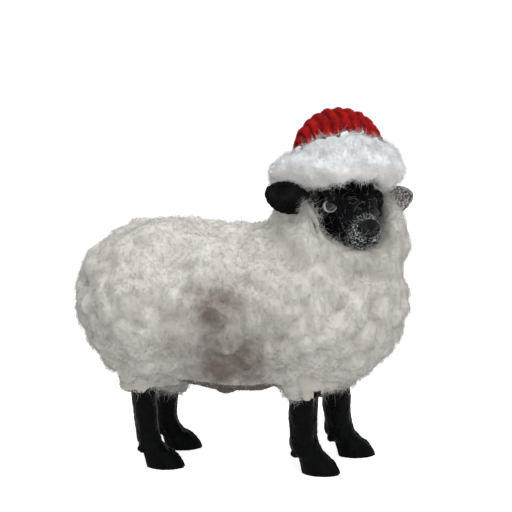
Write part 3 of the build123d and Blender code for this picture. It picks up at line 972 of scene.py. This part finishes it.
def crown_material():
    """Red plush, with painted shade between the ribs."""
    material, nodes, shader = new_material(
        "crown_plush", 0.9, Sheen_Weight=0.3, Sheen_Roughness=0.5, Specular_IOR_Level=0.15
    )
    shader.inputs["Sheen Tint"].default_value = rgba((226, 60, 60))
    where = nodes.where()
    marks = nodes.marks("curl")
    blotch = nodes.spread(nodes.noise(where, 170.0, 4.0, 0.65), 0.38, 0.66)
    colour = nodes.mix(blotch, rgba((128, 6, 8)), rgba((172, 12, 14)))
    # painted shade in the grooves between the ribs
    colour = nodes.mix(marks["Red"], rgba((60, 2, 4)), colour)
    nodes.link(colour, shader.inputs["Base Color"])
    grain = nodes.bump(nodes.noise(where, 1300.0, 3.0), 0.5, GRAIN_DEPTH)
    nodes.link(grain, shader.inputs["Normal"])
    return material


NAP = Growth(3.2, 1.3, 0.2, 0.15, 1.0, 0.1, 0.4)


def build_crown():
    """The ribbed crown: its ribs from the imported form, with a short plush nap."""
    rng = np.random.default_rng(31)
    material = crown_material()
    points, normals, triangles = blended(["hat_crown"], 0.5, 3)
    relief = relief_of(points, normals, triangles, 60)
    rise = 0.7 * relief + 0.3 * smooth_noise(points, 6.0, 31) - 0.2
    points = points + normals * rise[:, None]
    # the colour layer, low between the ribs, for the painted shade there
    layer = np.tile(np.clip(0.7 + 1.0 * relief, 0, 1)[:, None], (1, 3))
    piece = mesh_object("crown_knit", points, triangles, material, layer)
    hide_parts("hat_crown")
    outward = points[triangles].mean(1) - middle_mm("hat_crown")
    outer = (outward * normals[triangles].mean(1)).sum(1) > 0
    nap = grown(points, normals, triangles[outer], NAP, rng, rings=2)
    add_fibres("crown_nap", [nap], material)


# Head, ears, eyes and legs


def oval(local, centre, half):
    """How far out each point is in an oval body: 1 on its surface."""
    return np.sqrt((((local - np.array(centre)) / np.array(half)) ** 2).sum(1))


def face_carving(points, local):
    """Nose pad, nostrils, lips and mouth line: how far each point moves, and its colour layer."""
    nose = oval(local, (29.0, 0.0, -17.6), (5.0, 6.0, 4.2))
    pad = np.clip((1.12 - nose) / 0.16, 0, 1)
    muzzle = np.clip((1.2 - oval(local, (27.5, 0.0, -21.5), (8.5, 8.6, 9.6))) / 0.25, 0, 1)
    frost = muzzle * (1 - pad) * np.clip((local[:, 0] - 20.0) / 3.0, 0, 1)
    carving = 0.8 * pad
    for side in (-1, 1):
        nostril = oval(local, (31.0, side * 3.1, -18.4), (2.5, 1.7, 1.4))
        carving -= 1.3 * np.exp(-(nostril**2) * 1.4)
        lip = oval(local, (28.0, side * 3.8, -23.2), (4.0, 3.2, 2.0))
        carving += 0.7 * np.exp(-(lip**2)) * (1 - pad)
    front = np.clip((local[:, 0] - 22) / 3, 0, 1)
    split = np.exp(-((local[:, 1] / 0.55) ** 2)) * (local[:, 2] < -20) * (local[:, 2] > -25.4)
    mouth_height = -25.6 + 0.035 * local[:, 1] ** 2
    mouth = np.exp(-(((local[:, 2] - mouth_height) / 0.5) ** 2)) * (abs(local[:, 1]) < 8)
    carving -= front * (0.7 * split + 0.9 * mouth)
    grain = 0.12 * smooth_noise(points, 3.2, 41) + 0.10 * smooth_noise(points, 1.5, 42)
    carving += grain * (1 - 0.7 * pad) + 0.16 * frost * smooth_noise(points, 1.1, 43)
    return carving, np.stack([frost, pad, np.maximum(split, mouth) * front], 1)


def face_material():
    """Black resin, frosted round the nose and lips, with a glossier nose."""
    material, nodes, shader = new_material("face_resin", 0.5, Specular_IOR_Level=RESIN_SHINE)
    marks = nodes.marks("curl")
    where = nodes.where()
    group = place_group(nodes, resin_surface, Colour=rgba((3, 4, 5)),
                        Wear_Colour=rgba((26, 25, 31)), Wear=0.5, Gloss=0.34)
    flecks = nodes.spread(nodes.noise(where, 1300.0, 3.0, 0.6), 0.50, 0.62)
    frosted = nodes.math("MULTIPLY", flecks, marks["Red"])
    colour = nodes.mix(frosted, group["Colour"], rgba((190, 196, 198)))
    colour = nodes.mix(marks["Green"], colour, rgba((4, 5, 6)))
    colour = nodes.mix(marks["Blue"], colour, rgba((3, 3, 3)))
    nodes.link(colour, shader.inputs["Base Color"])
    shine = nodes.math("MULTIPLY", marks["Green"], -0.22)
    nodes.link(nodes.math("ADD", group["Roughness"], shine), shader.inputs["Roughness"])
    nodes.link(nodes.math("MULTIPLY", marks["Green"], 0.15), shader.inputs["Coat Weight"])
    shader.inputs["Coat Roughness"].default_value = 0.22
    nodes.link(nodes.bump(group["Height"], 0.4, GRAIN_DEPTH), shader.inputs["Normal"])
    return material


def build_head():
    """The cast head, carved more finely round the nose and mouth."""
    points, normals, triangles = blended(["head"], 0.36, 3)
    carving, layer = face_carving(points, on_face(points))
    points = points + normals * carving[:, None]
    piece = mesh_object("head_casting", points, triangles, face_material(), layer)
    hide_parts("head")


def grey_ear_material():
    """Grey resin speckled with pale wool, for the far ear."""
    material, nodes, shader = new_material("grey_ear_resin", 0.6, Specular_IOR_Level=0.3)
    group = place_group(nodes, resin_surface, Colour=rgba((74, 71, 68)),
                        Wear_Colour=rgba((128, 124, 120)), Wear=0.8, Gloss=0.5)
    flecks = nodes.spread(nodes.noise(nodes.where(), 950.0, 2.0, 0.6), 0.50, 0.60)
    pale = nodes.mix(flecks, group["Colour"], rgba((186, 182, 178)))
    nodes.link(pale, shader.inputs["Base Color"])
    nodes.link(group["Roughness"], shader.inputs["Roughness"])
    nodes.link(nodes.bump(group["Height"], 0.6, 0.0005), shader.inputs["Normal"])
    return material


EAR_RIDGE_GAP = 1.7


def build_ears():
    """The cupped ears, with shallow ridges that run round their middles."""
    dark = resin_material("ear_resin", (6, 6, 7), (38, 37, 38), 0.7, 0.42, bump=0.8)
    grey = grey_ear_material()
    for side, look, slot in (("right", dark, "black_resin"), ("left", grey, "grey_resin")):
        node = "ear_" + side
        points, normals, triangles = blended([node], 0.35, 3)
        away = np.linalg.norm(points - middle_mm(node), axis=1)
        bend = smooth_noise(points, 6.0, 51) * 1.5
        ridges = 0.13 * np.sin(away * math.tau / EAR_RIDGE_GAP + bend)
        points = points + normals * (ridges + 0.08 * smooth_noise(points, 1.6, 52))[:, None]
        piece = mesh_object(node + "_casting", points, triangles, look)
        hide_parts(node)


# Where the eyes look, outwards and upwards from straight ahead, and how wide the iris and
# the ring round it are, all in degrees.
GAZE = (43.0, 8.0)
GAZE_RING = 39.0


def eye_material():
    """Glass over a dark pupil, a brown iris and a faintly veined white."""
    material, nodes, shader = new_material(
        "eye_glass", 0.12, Specular_IOR_Level=0.2, Coat_Weight=0.25, Coat_Roughness=0.03
    )
    marks = nodes.marks("curl")
    veins = nodes.noise(nodes.where(), 700.0, 3.0)
    white = nodes.mix(nodes.spread(veins, 0.3, 0.8), rgba((244, 244, 240)), rgba((204, 202, 196)))
    iris = nodes.mix(nodes.spread(veins, 0.3, 0.7), rgba((20, 14, 10)), rgba((46, 34, 26)))
    dark = nodes.mix(nodes.spread(marks["Red"], 0.60, 0.66), rgba((4, 4, 4)), iris)
    colour = nodes.mix(nodes.spread(marks["Red"], 0.86, 0.92), dark, white)
    nodes.link(colour, shader.inputs["Base Color"])
    return material


def build_eyes():
    """Glass eyes: pupil, iris and white, placed by the angle from the gaze."""
    material = eye_material()
    turn, rise = (math.radians(angle) for angle in GAZE)
    for side, sign in (("right", -1), ("left", 1)):
        node = "eye_" + side
        gaze = np.array([
            math.cos(turn) * math.cos(rise), sign * math.sin(turn) * math.cos(rise), math.sin(rise)
        ]) @ HEAD_AXES.T
        points, _, triangles = blended([node], 0.25, 2)
        way = points - middle_mm(node)
        way /= np.linalg.norm(way, axis=1)[:, None]
        angle = np.degrees(np.arccos(np.clip(way @ gaze, -1, 1)))
        layer = np.zeros((len(points), 3), dtype=np.float32)
        layer[:, 0] = np.clip(angle / GAZE_RING, 0, 1.2)
        piece = mesh_object(node + "_glass", points, triangles, material, layer)
        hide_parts(node)


def build_legs():
    """The cast legs, with a modelled grain that runs down them and fades out at the soles."""
    resin = resin_material("leg_resin", (3, 4, 4), (18, 20, 21), 0.5, 0.34, bump=0.6)
    for k, leg in enumerate(LEGS):
        node = "leg_" + leg
        points, normals, triangles = blended([node], 0.55, 4)
        stretched = points * np.array([1.0, 1.0, 0.35])
        grain = 0.3 * smooth_noise(stretched, 4.0, 60 + k)
        grain += 0.14 * smooth_noise(points, 1.9, 70 + k)
        points = points + normals * (grain * np.clip(points[:, 2] / 6, 0, 1))[:, None]
        piece = mesh_object(node + "_casting", points, triangles, resin)
        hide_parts(node)


STRAY_COUNT = 420


def build_strays():
    """Loose fibres of wool on the forehead and the cheeks."""
    rng = np.random.default_rng(81)
    material, nodes, shader = new_material("stray_fibre", 0.8, Sheen_Weight=0.2)
    hue = nodes.spread(nodes.noise(nodes.where(), 300.0), 0.3, 0.7)
    colour = nodes.mix(hue, rgba((120, 120, 122)), rgba((196, 194, 190)))
    nodes.link(colour, shader.inputs["Base Color"])
    points, normals, triangles = blended(["head"], 0.8, 3)
    local = on_face(points[triangles].mean(1))
    front = (local[:, 0] > 4) & (local[:, 2] < 4) & (normals[triangles[:, 0]][:, 2] > -0.8)
    spots, out = scattered(points, normals, triangles[front], STRAY_COUNT, rng)
    lean = drooping(out, rng, 0.3, 0.8)
    parts = [wisps(spots, out, lean, 4.2, 0.09, 0.8, rng, 0.25, turns=1.0, rings=6)]
    add_fibres("stray_fibres", parts, material)


# Pieces that are hidden in the finished figurine


def finish_hidden():
    """Finishes for the carried-over pieces: core, wadding, dowel and pins."""
    looks = {
        "body_core": ((176, 160, 136), (140, 122, 98), 0.95, 260.0, 0.0),
        "hat_wadding": ((232, 228, 220), (206, 200, 190), 0.95, 420.0, 0.0),
        "neck_dowel": ((206, 172, 126), (172, 134, 88), 0.55, 320.0, 0.0),
    }
    for leg in LEGS:
        looks["leg_pin_" + leg] = ((196, 198, 200), (150, 152, 156), 0.32, 900.0, 1.0)
    for node, (light, dark, roughness, scale, metallic) in looks.items():
        material, nodes, shader = new_material(node + "_finish", roughness, Metallic=metallic)
        grain = nodes.noise(nodes.where(), scale, 4.0, 0.65)
        colour = nodes.mix(nodes.spread(grain, 0.35, 0.65), rgba(light), rgba(dark))
        nodes.link(colour, shader.inputs["Base Color"])
        nodes.link(nodes.bump(grain, 0.4, GRAIN_DEPTH), shader.inputs["Normal"])
        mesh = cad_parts[node].data
        mesh.materials.clear()
        mesh.materials.append(material)


# Floor and light


def seen_plainly(nodes):
    """1 for rays that the camera, a mirror or glass sends, 0 for those that light things."""
    rays = nodes.add("ShaderNodeLightPath").outputs
    through = nodes.math("MAXIMUM", rays["Is Glossy Ray"], rays["Is Transmission Ray"])
    return nodes.math("MAXIMUM", rays["Is Camera Ray"], through)


def build_stage():
    """A pale floor under soft studio light, white where no shadow falls."""
    span = 6.0
    mesh = bpy.data.meshes.new("floor")
    corners = [(-span, -span, 0), (span, -span, 0), (span, span, 0), (-span, span, 0)]
    mesh.from_pydata(corners, [], [(0, 1, 2, 3)])
    floor = bpy.data.objects.new("floor", mesh)
    bpy.context.collection.objects.link(floor)
    material, nodes, shader = new_material("pale_floor", 0.9, Specular_IOR_Level=0.0)
    shader.inputs["Base Color"].default_value = (0.8, 0.8, 0.8, 1)
    shader.inputs["Emission Color"].default_value = (1, 1, 1, 1)
    nodes.link(
        nodes.math("MULTIPLY", seen_plainly(nodes), 0.8), shader.inputs["Emission Strength"]
    )
    mesh.materials.append(material)
    world = bpy.data.worlds.new("studio")
    world.use_nodes = True
    world.node_tree.nodes.clear()
    tree = Nodes(world.node_tree)
    light = tree.add("ShaderNodeBackground")
    light.inputs["Color"].default_value = (1, 1, 1, 1)
    strength = tree.math("MULTIPLY_ADD", seen_plainly(tree), 0.58, 0.42)
    tree.link(strength, light.inputs["Strength"])
    out = tree.add("ShaderNodeOutputWorld")
    tree.link(light.outputs[0], out.inputs["Surface"])
    bpy.context.scene.world = world


def add_lamp(name, place, size, power):
    """A soft square lamp that looks at the figurine."""
    data = bpy.data.lights.new(name, "AREA")
    data.size = size
    data.energy = power
    lamp = bpy.data.objects.new(name, data)
    bpy.context.collection.objects.link(lamp)
    lamp.location = place
    aim = Vector(CAMERA_TARGET) * MM - Vector(place)
    lamp.rotation_mode = "QUATERNION"
    lamp.rotation_quaternion = aim.to_track_quat("-Z", "Y")


place_camera()
build_stage()
add_lamp("key_lamp", (0.12, -0.22, 0.95), 0.6, 5.6)
add_lamp("fill_lamp", (0.40, -0.80, 0.35), 0.6, 1.5)
build_coat()
build_cap_wool()
build_crown()
build_head()
build_ears()
build_eyes()
build_legs()
build_strays()
finish_hidden()

bpy.context.scene.view_settings.view_transform = "Standard"
